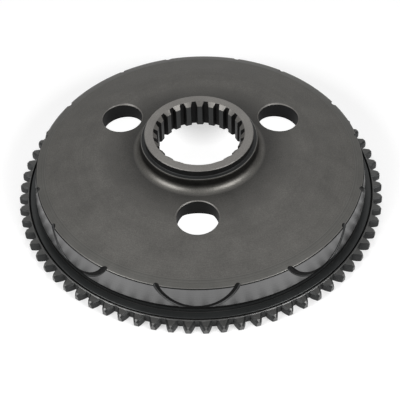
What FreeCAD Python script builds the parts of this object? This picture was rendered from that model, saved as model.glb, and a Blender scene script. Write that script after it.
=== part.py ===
import FreeCAD, Part
import os
import Sketcher

# Synchronizer cone of a truck gearbox, turned from one steel forging.
# The axis of the cone is Z. The origin is the centre of the toothed ring's
# flat lower face, and the hub points up. All sizes are in millimetres and
# degrees, and one of the web's holes lies on the -Y side.

NODE = "synchronizer_cone"

SIZES = [
    ("hub_top_height", 53.4, "top face of the hub above the lower face"),
    ("hub_top_diameter", 70.0, "outside of the raised hub collar"),
    ("hub_edge_break", 0.4, "chamfer on the collar's outer edge"),
    ("ledge_height", 48.5, "ledge around the foot of the collar"),
    ("ledge_diameter", 76.0, "outside of the ledge"),
    ("ledge_round", 0.8, "round on the ledge's outer edge"),
    ("collar_foot_round", 0.6, "round between collar and ledge"),
    ("hub_fillet", 6.0, "concave fillet from the ledge down to the web"),
    ("hub_bottom_height", 26.2, "lower face of the hub"),
    ("hub_bottom_diameter", 88.0, "outside of the hub's lower face"),
    ("hub_flank_width", 7.6, "radial width of the slope beside the hub's lower face"),
    ("hub_flank_fillet", 3.0, "fillet between that slope and the web"),
    ("counterbore_diameter", 77.0, "recess below the spline"),
    ("counterbore_depth", 8.0, "depth of that recess"),
    ("counterbore_chamfer", 0.8, "chamfer at the mouth of the recess"),
    ("spline_count", 23, "internal spline teeth"),
    ("spline_minor_diameter", 54.0, "circle through the spline tooth tips"),
    ("spline_major_diameter", 58.9, "circle through the floors of the spaces"),
    ("spline_floor_width", 2.7, "width of a space at its floor"),
    ("spline_mouth_width", 4.3, "width of a space at the tooth tips"),
    ("spline_lead_diameter", 59.0, "outer circle of the conical lead-in"),
    ("spline_lead_angle", 45.0, "slope of the lead-in from the axis"),
    ("spline_end_chamfer", 0.7, "chamfer at the spline's lower end"),
    ("web_height", 38.6, "top of the web at the circle of holes"),
    ("web_slope", 1.5, "fall of the web's top round the holes"),
    ("web_break_diameter", 150.0, "circle where the web's top turns down"),
    ("web_outer_slope", 20.0, "fall of the web's top beyond that circle"),
    ("web_crown", 60.0, "wide round that blends the two slopes"),
    ("web_thickness", 10.6, "upright thickness of the web at the holes"),
    ("web_lower_slope", 11.0, "fall of the web's underside towards the rim"),
    ("hole_count", 3, "round holes through the web"),
    ("hole_circle_diameter", 120.0, "circle of the hole centres"),
    ("hole_diameter", 26.6, "width of a hole"),
    ("hole_chamfer", 0.5, "chamfer at the holes' upper edges"),
    ("rim_diameter", 215.0, "small end of the friction cone"),
    ("rim_band_width", 5.7, "turned band on top of the rim"),
    ("rim_band_slope", 20.5, "fall of that band"),
    ("rim_chamfer", 0.7, "chamfer between band and friction cone"),
    ("cone_half_angle", 7.0, "half angle of the friction cone"),
    ("cone_foot_height", 11.7, "large end of the friction cone"),
    ("undercut_depth", 1.7, "runout undercut at the foot of the cone"),
    ("undercut_floor_drop", 0.6, "undercut floor below the shelf"),
    ("shelf_height", 6.0, "smooth shelf between cone and teeth"),
    ("shelf_inner_diameter", 216.8, "inner edge of the shelf"),
    ("relief_inner_diameter", 226.6, "inner wall of the relief groove"),
    ("relief_width", 0.9, "width of the relief groove"),
    ("relief_depth", 2.0, "depth of the relief groove"),
    ("land_width", 0.7, "narrow land between groove and teeth"),
    ("land_step", 0.4, "tooth faces below that land"),
    ("tooth_count", 70, "dog teeth"),
    ("tooth_tip_diameter", 241.6, "circle through the dog tooth tips"),
    ("tooth_root_diameter", 230.2, "circle through the gap floors"),
    ("gap_floor_width", 2.8, "width of a gap at its floor"),
    ("gap_mouth_width", 8.5, "width of a gap at the tooth tips"),
    ("flank_radius", 16.0, "crown of the dog tooth flanks"),
    ("tip_chamfer_width", 0.4, "radial width of the tips' lower chamfer"),
    ("tip_chamfer_height", 0.6, "height of the tips' lower chamfer"),
    ("dish_diameter", 199.0, "inside of the cone's wall"),
    ("dish_chamfer", 1.0, "chamfer at the mouth of the dish"),
    ("dish_fillet", 4.0, "fillet between the wall and the web"),
    ("oil_groove_count", 8, "curved oil grooves on the friction cone"),
    ("oil_groove_sweep", 26.6, "radius of a groove's centre line"),
    ("oil_groove_round", 1.8, "radius of a groove's round section"),
    ("oil_groove_lean", 18.4, "lean of a groove's plane from the axis"),
    ("oil_groove_standoff", 0.4, "groove centre line outside the cone"),
    ("oil_groove_drop", 0.5, "lowest centre point below the cone's foot"),
]


def size(alias):
    """Return the expression that reads one driving dimension."""
    return "Sizes." + alias


def half(alias):
    """Return the expression for half of a diameter or width."""
    return "(Sizes." + alias + " / 2)"


def tangent(alias):
    """Return the expression for the tangent of a driving angle."""
    return "tan(Sizes." + alias + " * 1 deg)"


FULL_TURN = 360.0
HALF_TURN = 180.0
QUARTER_TURN = 90.0
EDGE_TOLERANCE = 0.01
CUT_OVERRUN = "1.0"
HOLE_RADIUS_PLACE = half("hole_circle_diameter")
WEB_BREAK_RADIUS = half("web_break_diameter")
WEB_EDGE_RADIUS = f"({half('rim_diameter')} - {size('rim_chamfer')} - {size('rim_band_width')})"
BAND_EDGE_RADIUS = f"({half('rim_diameter')} - {size('rim_chamfer')})"


def web_top(radius):
    """Return the height of the web's top at a radius inside the break."""
    return f"({size('web_height')} + ({HOLE_RADIUS_PLACE} - {radius}) * {tangent('web_slope')})"


def web_underside(radius):
    """Return the height of the web's conical underside at a radius."""
    middle = f"{size('web_height')} - {size('web_thickness')}"
    return f"({middle} + ({HOLE_RADIUS_PLACE} - {radius}) * {tangent('web_lower_slope')})"


WEB_BREAK_HEIGHT = web_top(WEB_BREAK_RADIUS)
WEB_OUTER_WIDTH = f"({WEB_EDGE_RADIUS} - {WEB_BREAK_RADIUS})"
WEB_EDGE_HEIGHT = f"({WEB_BREAK_HEIGHT} - {WEB_OUTER_WIDTH} * {tangent('web_outer_slope')})"
BAND_EDGE_HEIGHT = f"({WEB_EDGE_HEIGHT} - {size('rim_band_width')} * {tangent('rim_band_slope')})"
CONE_TOP_HEIGHT = f"({BAND_EDGE_HEIGHT} - {size('rim_chamfer')})"


def cone_radius(height):
    """Return the radius of the friction cone at a height."""
    return f"({half('rim_diameter')} + ({CONE_TOP_HEIGHT} - {height}) * {tangent('cone_half_angle')})"


def make_sheet(document):
    """Write the driving dimensions into a spreadsheet with one alias each."""
    sheet = document.addObject("Spreadsheet::Sheet", "Sizes")
    for row, (alias, number, meaning) in enumerate(SIZES, start=1):
        sheet.set(f"A{row}", meaning)
        sheet.set(f"B{row}", str(number))
        sheet.setAlias(f"B{row}", alias)
    document.recompute()
    return sheet


def origin_plane(body, role):
    """Return one of the body's own origin planes."""
    return next(plane for plane in body.Origin.OriginFeatures if plane.Role == role)


def origin_axis(body):
    """Return the body's own upright axis."""
    return next(axis for axis in body.Origin.OriginFeatures if axis.Role == "Z_Axis")


def new_sketch(body, name, role, turn=0.0):
    """Add a sketch on an origin plane, turned about the plane's normal."""
    sketch = body.newObject("Sketcher::SketchObject", name)
    sketch.AttachmentSupport = [(origin_plane(body, role), "")]
    sketch.MapMode = "FlatFace"
    sketch.AttachmentOffset = FreeCAD.Placement(
        FreeCAD.Vector(), FreeCAD.Rotation(FreeCAD.Vector(0, 0, 1), turn)
    )
    return sketch


def bind(sketch, kind, arguments, expression):
    """Add a dimension to a sketch and tie it to the driving dimensions."""
    start = float(sketch.evalExpression(expression))
    index = sketch.addConstraint(Sketcher.Constraint(kind, *arguments, start))
    sketch.setExpression(f"Constraints[{index}]", expression)


def draw_outline(sketch, corners):
    """Draw a closed outline through corners given as (across, up) expressions."""
    points = [
        FreeCAD.Vector(float(sketch.evalExpression(across)), float(sketch.evalExpression(up)), 0)
        for across, up in corners
    ]
    following = points[1:] + points[:1]
    for start, end in zip(points, following):
        sketch.addGeometry(Part.LineSegment(start, end), False)
    for line in range(len(points)):
        sketch.addConstraint(Sketcher.Constraint("Coincident", line, 2, (line + 1) % len(points), 1))
    for line, (across, up) in enumerate(corners):
        bind(sketch, "DistanceX", (-1, 1, line, 1), across)
        bind(sketch, "DistanceY", (-1, 1, line, 1), up)


def spline_corners():
    """Return the corners of the bore, from the spline's foot to the collar."""
    minor = half("spline_minor_diameter")
    lead = half("spline_lead_diameter")
    foot = f"({size('hub_bottom_height')} + {size('counterbore_depth')})"
    lead_depth = f"({lead} - {minor}) / {tangent('spline_lead_angle')}"
    return [
        (f"{minor} + {size('spline_end_chamfer')}", foot),
        (minor, f"{foot} + {size('spline_end_chamfer')}"),
        (minor, f"{size('hub_top_height')} - {lead_depth}"),
        (lead, size("hub_top_height")),
    ]


def top_corners():
    """Return the corners of the hub, web and rim seen from above."""
    ledge = half("ledge_diameter")
    return [
        (half("hub_top_diameter"), size("hub_top_height")),
        (half("hub_top_diameter"), size("ledge_height")),
        (ledge, size("ledge_height")),
        (ledge, web_top(ledge)),
        (WEB_BREAK_RADIUS, WEB_BREAK_HEIGHT),
        (WEB_EDGE_RADIUS, WEB_EDGE_HEIGHT),
        (BAND_EDGE_RADIUS, BAND_EDGE_HEIGHT),
        (half("rim_diameter"), CONE_TOP_HEIGHT),
    ]


def side_corners():
    """Return the corners of the friction cone, undercut, shelf and toothed ring."""
    foot_radius = cone_radius(size("cone_foot_height"))
    undercut_radius = f"({foot_radius} - {size('undercut_depth')})"
    shelf = size("shelf_height")
    drop = size("undercut_floor_drop")
    relief_inner = half("relief_inner_diameter")
    relief_outer = f"({relief_inner} + {size('relief_width')})"
    relief_floor = f"{shelf} - {size('relief_depth')}"
    land_edge = f"({relief_outer} + {size('land_width')})"
    tip = half("tooth_tip_diameter")
    return [
        (foot_radius, size("cone_foot_height")),
        (undercut_radius, f"{size('cone_foot_height')} - {size('undercut_depth')}"),
        (undercut_radius, f"{shelf} - {drop}"),
        (f"{half('shelf_inner_diameter')} - {drop}", f"{shelf} - {drop}"),
        (half("shelf_inner_diameter"), shelf),
        (relief_inner, shelf),
        (relief_inner, relief_floor),
        (relief_outer, relief_floor),
        (relief_outer, shelf),
        (land_edge, shelf),
        (f"{land_edge} + {size('land_step')}", f"{shelf} - {size('land_step')}"),
        (tip, f"{shelf} - {size('land_step')}"),
        (tip, size("tip_chamfer_height")),
    ]


def underside_corners():
    """Return the corners of the lower face, the dish and the hub's underside."""
    dish = half("dish_diameter")
    hub = half("hub_bottom_diameter")
    flank = f"({hub} + {size('hub_flank_width')})"
    recess = half("counterbore_diameter")
    chamfer = size("counterbore_chamfer")
    return [
        (f"{half('tooth_tip_diameter')} - {size('tip_chamfer_width')}", "0"),
        (f"{dish} + {size('dish_chamfer')}", "0"),
        (dish, size("dish_chamfer")),
        (dish, web_underside(dish)),
        (flank, web_underside(flank)),
        (hub, size("hub_bottom_height")),
        (f"{recess} + {chamfer}", size("hub_bottom_height")),
        (recess, f"{size('hub_bottom_height')} + {chamfer}"),
        (recess, f"{size('hub_bottom_height')} + {size('counterbore_depth')}"),
    ]


def turn_blank(body):
    """Turn the whole section about the axis."""
    sketch = new_sketch(body, "SectionSketch", "XZ_Plane")
    draw_outline(sketch, spline_corners() + top_corners() + side_corners() + underside_corners())
    blank = body.newObject("PartDesign::Revolution", "Blank")
    blank.Profile = sketch
    blank.ReferenceAxis = (sketch, ["V_Axis"])
    blank.Angle = FULL_TURN
    body.Document.recompute()


def ring_edges(feature, places):
    """Find the circular edges that lie at the given (radius, height) expressions."""
    names = []
    for radius, height in places:
        wanted_radius = float(feature.evalExpression(radius))
        wanted_height = float(feature.evalExpression(height))
        for number, edge in enumerate(feature.Shape.Edges, start=1):
            curve = edge.Curve
            if not isinstance(curve, Part.Circle):
                continue
            if abs(curve.Radius - wanted_radius) > EDGE_TOLERANCE:
                continue
            if abs(curve.Center.z - wanted_height) > EDGE_TOLERANCE:
                continue
            names.append(f"Edge{number}")
    return names


def round_edges(body, name, alias, places):
    """Round the circular edges at the given places by one driving radius."""
    base = body.Tip
    fillet = body.newObject("PartDesign::Fillet", name)
    fillet.Base = (base, ring_edges(base, places))
    fillet.setExpression("Radius", size(alias))
    body.Document.recompute()


def finish_blank(body):
    """Round and break the turned edges of hub, web and dish."""
    collar = half("hub_top_diameter")
    ledge = half("ledge_diameter")
    dish = half("dish_diameter")
    flank = f"({half('hub_bottom_diameter')} + {size('hub_flank_width')})"
    round_edges(body, "WebCrown", "web_crown", [(WEB_BREAK_RADIUS, WEB_BREAK_HEIGHT)])
    round_edges(body, "HubFillet", "hub_fillet", [(ledge, web_top(ledge))])
    round_edges(body, "LedgeRound", "ledge_round", [(ledge, size("ledge_height"))])
    round_edges(body, "CollarFootRound", "collar_foot_round", [(collar, size("ledge_height"))])
    round_edges(body, "DishFillet", "dish_fillet", [(dish, web_underside(dish))])
    round_edges(body, "HubFlankFillet", "hub_flank_fillet", [(flank, web_underside(flank))])
    base = body.Tip
    chamfer = body.newObject("PartDesign::Chamfer", "CollarEdgeBreak")
    chamfer.Base = (base, ring_edges(base, [(collar, size("hub_top_height"))]))
    chamfer.setExpression("Size", size("hub_edge_break"))
    body.Document.recompute()


def cut_through(body, name, sketch):
    """Cut a sketch's outline through everything above and below its plane."""
    before = body.Shape.Volume
    pocket = body.newObject("PartDesign::Pocket", name)
    pocket.Profile = sketch
    pocket.Type = "ThroughAll"
    pocket.Midplane = True
    body.Document.recompute()
    if not pocket.Shape.Volume < before:
        raise RuntimeError(f"{name} removed no material")
    return pocket


def repeat_round_axis(body, name, feature, axis, count):
    """Repeat a cut evenly round the axis, as many times as one driving count."""
    before = body.Shape.Volume
    pattern = body.newObject("PartDesign::PolarPattern", name)
    pattern.Originals = [feature]
    pattern.Axis = axis
    pattern.Angle = FULL_TURN
    pattern.Refine = False
    pattern.setExpression("Occurrences", size(count))
    body.Tip = pattern
    body.Document.recompute()
    if not pattern.Shape.Volume < before:
        raise RuntimeError(f"{name} removed no material")
    return pattern


def cut_web_holes(body):
    """Cut the round holes through the web, the first one on the -Y side."""
    sketch = new_sketch(body, "HoleSketch", "XY_Plane", turn=HALF_TURN)
    place = float(sketch.evalExpression(HOLE_RADIUS_PLACE))
    radius = float(sketch.evalExpression(half("hole_diameter")))
    circle = Part.Circle(FreeCAD.Vector(0, place, 0), FreeCAD.Vector(0, 0, 1), radius)
    sketch.addGeometry(circle, False)
    sketch.addConstraint(Sketcher.Constraint("PointOnObject", 0, 3, -2))
    bind(sketch, "DistanceY", (-1, 1, 0, 3), HOLE_RADIUS_PLACE)
    bind(sketch, "Diameter", (0,), size("hole_diameter"))
    hole = cut_through(body, "WebHole", sketch)
    pattern = repeat_round_axis(body, "WebHoles", hole, (sketch, ["N_Axis"]), "hole_count")
    chamfer = body.newObject("PartDesign::Chamfer", "HoleChamfers")
    chamfer.Base = (pattern, upper_hole_edges(pattern))
    chamfer.setExpression("Size", size("hole_chamfer"))
    body.Document.recompute()


def upper_hole_edges(feature):
    """Find the edges where the walls of the holes meet the web's top."""
    middle = float(feature.evalExpression(f"{size('web_height')} - {half('web_thickness')}"))
    radius = float(feature.evalExpression(half("hole_diameter")))
    walls = [
        face
        for face in feature.Shape.Faces
        if isinstance(face.Surface, Part.Cylinder)
        and abs(face.Surface.Radius - radius) < EDGE_TOLERANCE
    ]
    upper = [edge for wall in walls for edge in wall.Edges if edge.BoundBox.ZMin > middle]
    return [
        f"Edge{number}"
        for number, edge in enumerate(feature.Shape.Edges, start=1)
        if any(edge.isSame(other) for other in upper)
    ]


def crowned_flank(start, end, radius):
    """Return the arc from start to end, counterclockwise about its centre."""
    chord = end - start
    sagitta = radius - (radius ** 2 - (chord.Length / 2) ** 2) ** 0.5
    outwards = FreeCAD.Vector(chord.y, -chord.x, 0).normalize()
    return Part.Arc(start, (start + end) / 2 + outwards * sagitta, end)


def draw_space(sketch, floor, mouth, end_radius, crown=None):
    """Draw the space between two teeth, symmetric about the sketch's upright axis.

    Floor and mouth are (radius, width) expressions. The space runs on past its
    mouth to end_radius. Its flanks are straight, or arcs of the crown's radius
    that bulge into the space.
    """
    floor_radius, floor_width, mouth_radius, mouth_width, end = (
        float(sketch.evalExpression(expression)) for expression in (*floor, *mouth, end_radius)
    )
    floor_left = FreeCAD.Vector(-floor_width / 2, floor_radius, 0)
    floor_right = FreeCAD.Vector(floor_width / 2, floor_radius, 0)
    mouth_left = FreeCAD.Vector(-mouth_width / 2, mouth_radius, 0)
    mouth_right = FreeCAD.Vector(mouth_width / 2, mouth_radius, 0)
    end_left = FreeCAD.Vector(-mouth_width / 2, end, 0)
    end_right = FreeCAD.Vector(mouth_width / 2, end, 0)
    if crown:
        radius = float(sketch.evalExpression(crown))
        right_flank = crowned_flank(mouth_right, floor_right, radius)
        left_flank = crowned_flank(floor_left, mouth_left, radius)
    else:
        right_flank = Part.LineSegment(mouth_right, floor_right)
        left_flank = Part.LineSegment(floor_left, mouth_left)
    bottom = sketch.addGeometry(Part.LineSegment(floor_left, floor_right), False)
    right = sketch.addGeometry(right_flank, False)
    right_side = sketch.addGeometry(Part.LineSegment(mouth_right, end_right), False)
    top = sketch.addGeometry(Part.LineSegment(end_right, end_left), False)
    left_side = sketch.addGeometry(Part.LineSegment(end_left, mouth_left), False)
    left = sketch.addGeometry(left_flank, False)
    joints = [
        (bottom, 2, right, 2),
        (right, 1, right_side, 1),
        (right_side, 2, top, 1),
        (top, 2, left_side, 1),
        (left_side, 2, left, 2),
        (left, 1, bottom, 1),
    ]
    for joint in joints:
        sketch.addConstraint(Sketcher.Constraint("Coincident", *joint))
    for pair in ((bottom, 1, bottom, 2), (left, 2, right, 1), (top, 2, top, 1)):
        sketch.addConstraint(Sketcher.Constraint("Symmetric", *pair, -2))
    sketch.addConstraint(Sketcher.Constraint("Vertical", right_side))
    bind(sketch, "DistanceY", (-1, 1, bottom, 1), floor[0])
    bind(sketch, "DistanceX", (bottom, 1, bottom, 2), floor[1])
    bind(sketch, "DistanceY", (-1, 1, right, 1), mouth[0])
    bind(sketch, "DistanceX", (left, 2, right, 1), mouth[1])
    bind(sketch, "DistanceY", (-1, 1, top, 1), end_radius)
    if crown:
        bind(sketch, "Radius", (right,), crown)
        bind(sketch, "Radius", (left,), crown)


def cut_spline(body):
    """Cut the spaces of the internal spline, one of them on the -Y side."""
    sketch = new_sketch(body, "SplineSpaceSketch", "XY_Plane", turn=HALF_TURN)
    draw_space(
        sketch,
        (half("spline_major_diameter"), size("spline_floor_width")),
        (half("spline_minor_diameter"), size("spline_mouth_width")),
        f"{half('spline_minor_diameter')} - {CUT_OVERRUN}",
    )
    space = cut_through(body, "SplineSpace", sketch)
    repeat_round_axis(body, "SplineSpaces", space, (sketch, ["N_Axis"]), "spline_count")


def cut_dog_teeth(body):
    """Cut the gaps between the dog teeth, one of them on the -Y side."""
    sketch = new_sketch(body, "ToothGapSketch", "XY_Plane", turn=HALF_TURN)
    draw_space(
        sketch,
        (half("tooth_root_diameter"), size("gap_floor_width")),
        (half("tooth_tip_diameter"), size("gap_mouth_width")),
        f"{half('tooth_tip_diameter')} + {CUT_OVERRUN}",
        crown=size("flank_radius"),
    )
    gap = cut_through(body, "ToothGap", sketch)
    repeat_round_axis(body, "ToothGaps", gap, (sketch, ["N_Axis"]), "tooth_count")


def cut_oil_grooves(body):
    """Cut the curved oil grooves, each an arc in a plane that leans with the cone.

    A groove's centre line is the lower part of a circle. Its lowest point lies
    just below the cone's foot on the -Y side, and its two ends run out over
    the rim's top edge.
    """
    lowest = f"({size('cone_foot_height')} - {size('oil_groove_drop')})"
    outermost = f"({cone_radius(lowest)} + {size('oil_groove_standoff')})"
    sweep = size("oil_groove_sweep")
    lean = f"{size('oil_groove_lean')} * 1 deg"
    before = body.Shape.Volume
    groove = body.newObject("PartDesign::SubtractiveTorus", "OilGroove")
    groove.AttachmentSupport = [(origin_plane(body, "XY_Plane"), "")]
    groove.MapMode = "FlatFace"
    groove.AttachmentOffset = FreeCAD.Placement(
        FreeCAD.Vector(), FreeCAD.Rotation(FreeCAD.Vector(1, 0, 0), QUARTER_TURN)
    )
    groove.setExpression("Radius1", sweep)
    groove.setExpression("Radius2", size("oil_groove_round"))
    groove.setExpression("AttachmentOffset.Base.y", f"{sweep} * sin({lean}) - {outermost}")
    groove.setExpression("AttachmentOffset.Base.z", f"{lowest} + {sweep} * cos({lean})")
    groove.setExpression("AttachmentOffset.Rotation.Angle", f"{QUARTER_TURN} - {size('oil_groove_lean')}")
    body.Document.recompute()
    if not groove.Shape.Volume < before:
        raise RuntimeError("OilGroove removed no material")
    axis = (origin_axis(body), [""])
    repeat_round_axis(body, "OilGrooves", groove, axis, "oil_groove_count")


def check(document, body):
    """Raise an error unless every object is up to date and the body is one valid solid."""
    for item in document.Objects:
        if "Invalid" in item.State or "Error" in item.State:
            raise RuntimeError(f"{item.Name} could not be computed")
        if not hasattr(item, "Shape"):
            continue
        if item.Shape.isNull() or not item.Shape.isValid():
            raise RuntimeError(f"{item.Name} has no valid shape")
    if len(body.Shape.Solids) != 1:
        raise RuntimeError(f"{body.Name} is not one solid")


def build():
    """Build the cone, check it and write it as one solid."""
    document = FreeCAD.newDocument("SynchronizerCone")
    make_sheet(document)
    body = document.addObject("PartDesign::Body", NODE)
    body.Label = NODE
    body.Placement = FreeCAD.Placement(FreeCAD.Vector(), FreeCAD.Rotation())
    turn_blank(body)
    finish_blank(body)
    cut_web_holes(body)
    cut_spline(body)
    cut_oil_grooves(body)
    cut_dog_teeth(body)
    document.recompute()
    check(document, body)
    os.makedirs("parts", exist_ok=True)
    body.Shape.exportStep(f"parts/{NODE}.step")


build()
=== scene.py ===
import math

import bmesh
import bpy
from mathutils import Matrix, Vector


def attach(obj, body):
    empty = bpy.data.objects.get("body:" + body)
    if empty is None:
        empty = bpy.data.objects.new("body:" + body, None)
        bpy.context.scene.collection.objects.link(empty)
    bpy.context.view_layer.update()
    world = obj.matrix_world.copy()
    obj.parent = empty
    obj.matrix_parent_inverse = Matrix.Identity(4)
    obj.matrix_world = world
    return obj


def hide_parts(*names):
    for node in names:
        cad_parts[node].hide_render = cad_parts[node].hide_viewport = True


bl_info = {
    "name": "Synchronizer cone",
    "version": (1, 0, 0),
    "blender": (4, 5, 0),
    "location": "View3D > Sidebar > Cone",
    "description": "Models a gearbox synchronizer cone as a turner and miller would make it",
    "category": "Add Mesh",
}

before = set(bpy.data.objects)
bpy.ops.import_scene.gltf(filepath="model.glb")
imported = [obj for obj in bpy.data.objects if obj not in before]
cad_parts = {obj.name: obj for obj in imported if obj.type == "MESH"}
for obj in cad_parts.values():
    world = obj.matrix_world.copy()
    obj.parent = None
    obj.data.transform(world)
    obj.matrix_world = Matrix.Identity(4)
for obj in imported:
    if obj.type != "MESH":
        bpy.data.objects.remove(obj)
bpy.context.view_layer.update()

NODE = "synchronizer_cone"
PIECE = "synchronizer_cone_steel"
FULL_TURN = 2.0 * math.pi
QUARTER_TURN = 0.25
AXIS = (0.0, 0.0, 1.0)
CENTRE = (0.0, 0.0, 0.0)
WHITE = (1.0, 1.0, 1.0, 1.0)


def length(name, text, default):
    """Return a length property in metres."""
    return bpy.props.FloatProperty(name=name, description=text, default=default, unit="LENGTH", precision=5)


def turn(name, text, degrees):
    """Return an angle property."""
    angle = math.radians(degrees)
    return bpy.props.FloatProperty(name=name, description=text, default=angle, unit="ROTATION")


def amount(name, text, default):
    """Return a plain number property, such as a strength or a gain."""
    return bpy.props.FloatProperty(name=name, description=text, default=default, min=0.0)


def count(name, text, default):
    """Return a whole-number property."""
    return bpy.props.IntProperty(name=name, description=text, default=default, min=1)


def colour(name, text, default):
    """Return a colour property."""
    return bpy.props.FloatVectorProperty(
        name=name, description=text, default=default, size=3, subtype="COLOR",
    )


def spot(name, text, default):
    """Return a property that is a point in metres."""
    return bpy.props.FloatVectorProperty(
        name=name, description=text, default=default, size=3, subtype="TRANSLATION",
    )


class ConeHub(bpy.types.PropertyGroup):
    """Sizes of the hub and its spline."""

    top_height: length("Top height", "Top face of the hub above the lower face", 0.0534)
    collar_radius: length("Collar radius", "Outside of the raised collar", 0.035)
    ledge_height: length("Ledge height", "Ledge round the foot of the collar", 0.0485)
    ledge_radius: length("Ledge radius", "Outside of the ledge", 0.038)
    ledge_round: length("Ledge round", "Round on the ledge's outer edge", 0.0008)
    foot_round: length("Foot round", "Round between collar and ledge", 0.0006)
    fillet: length("Hub fillet", "Concave fillet from the ledge to the web", 0.006)
    bottom_height: length("Bottom height", "Lower face of the hub", 0.0262)
    bottom_radius: length("Bottom radius", "Outside of the hub's lower face", 0.044)
    flank_width: length("Flank width", "Slope beside the hub's lower face", 0.0076)
    flank_fillet: length("Flank fillet", "Fillet between that slope and the web", 0.003)
    recess_radius: length("Recess radius", "Recess below the spline", 0.0385)
    recess_depth: length("Recess depth", "Depth of that recess", 0.008)
    recess_chamfer: length("Recess chamfer", "Chamfer at the mouth of the recess", 0.0008)
    spline_count: count("Spline teeth", "Internal spline teeth", 23)
    spline_minor: length("Spline minor radius", "Circle through the spline's tips", 0.027)
    spline_major: length("Spline major radius", "Circle through the floors of the spaces", 0.02945)
    spline_floor: length("Space floor", "Width of a space at its floor", 0.0027)
    spline_mouth: length("Space mouth", "Width of a space at the tips", 0.0043)
    lead_radius: length("Lead-in radius", "Outer circle of the lead-in", 0.0295)
    lead_angle: turn("Lead-in angle", "Slope of the lead-in from the axis", 45.0)
    end_chamfer: length("End chamfer", "Chamfer at the spline's lower end", 0.0007)


class ConeWeb(bpy.types.PropertyGroup):
    """Sizes of the web, the rim and the dish below them."""

    height: length("Web height", "Top of the web at the circle of holes", 0.0386)
    slope: turn("Web slope", "Fall of the web round the holes", 1.5)
    break_radius: length("Break radius", "Circle where the web turns down", 0.075)
    outer_slope: turn("Outer slope", "Fall of the web beyond that circle", 20.0)
    crown: length("Crown", "Wide round between the two slopes", 0.060)
    thickness: length("Thickness", "Thickness of the web at the holes", 0.0106)
    lower_slope: turn("Lower slope", "Fall of the web's underside", 11.0)
    hole_count: count("Holes", "Round holes through the web", 3)
    hole_circle: length("Hole circle radius", "Circle of the hole centres", 0.060)
    hole_radius: length("Hole radius", "Half the width of a hole", 0.0133)
    hole_chamfer: length("Hole chamfer", "Chamfer at a hole's upper edge", 0.0005)
    crown_drop: length("Crown drop", "Fall of the crown at a hole's outer edge", 0.0006)
    rim_radius: length("Rim radius", "Small end of the friction cone", 0.1075)
    band_width: length("Band width", "Turned band on top of the rim", 0.0057)
    band_slope: turn("Band slope", "Fall of that band", 20.5)
    rim_chamfer: length("Rim chamfer", "Chamfer between band and cone", 0.0007)
    dish_radius: length("Dish radius", "Inside of the cone's wall", 0.0995)
    dish_chamfer: length("Dish chamfer", "Chamfer at the mouth of the dish", 0.001)
    dish_fillet: length("Dish fillet", "Fillet between wall and web", 0.004)


class ConeRing(bpy.types.PropertyGroup):
    """Sizes of the friction cone, the shelf and the toothed ring."""

    cone_angle: turn("Cone angle", "Half angle of the friction cone", 7.0)
    cone_foot: length("Cone foot", "Large end of the friction cone", 0.0117)
    undercut: length("Undercut", "Depth of the runout undercut", 0.0017)
    undercut_drop: length("Undercut drop", "Undercut floor below the shelf", 0.0006)
    shelf_height: length("Shelf height", "Smooth shelf between cone and teeth", 0.006)
    shelf_radius: length("Shelf radius", "Inner edge of the shelf", 0.1084)
    relief_radius: length("Relief radius", "Inner wall of the relief groove", 0.1133)
    relief_width: length("Relief width", "Width of the relief groove", 0.0009)
    relief_depth: length("Relief depth", "Depth of the relief groove", 0.002)
    land_width: length("Land width", "Narrow land beside the teeth", 0.0007)
    land_step: length("Land step", "Tooth faces below the land", 0.0004)
    tooth_count: count("Dog teeth", "Teeth round the ring", 70)
    tip_radius: length("Tip radius", "Circle through the tooth tips", 0.1208)
    root_radius: length("Root radius", "Circle through the gap floors", 0.1151)
    gap_floor: length("Gap floor", "Width of a gap at its floor", 0.0028)
    gap_mouth: length("Gap mouth", "Width of a gap at the tips", 0.0085)
    flank_radius: length("Flank crown", "Crown radius of the flanks", 0.016)
    tip_chamfer_width: length("Tip chamfer width", "Radial width of the tips' lower chamfer", 0.0004)
    tip_chamfer_height: length("Tip chamfer height", "Height of that chamfer", 0.0006)
    tooth_break: length("Tooth break", "Bevel on the dog teeth's upper edges", 0.0010)
    tip_break: length("Tip break", "Bevel on the tips' upper edges", 0.0012)
    groove_count: count("Oil grooves", "Curved grooves on the friction cone", 8)
    groove_sweep: length("Groove sweep", "Radius of a groove's centre line", 0.0266)
    groove_round: length("Groove round", "Radius of a groove's section", 0.0018)
    groove_lean: turn("Groove lean", "Lean of a groove's plane", 18.4)
    groove_standoff: length("Groove standoff", "Centre line outside the cone", 0.0004)
    groove_drop: length("Groove drop", "Lowest centre point below the cone's foot", 0.0005)


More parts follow.
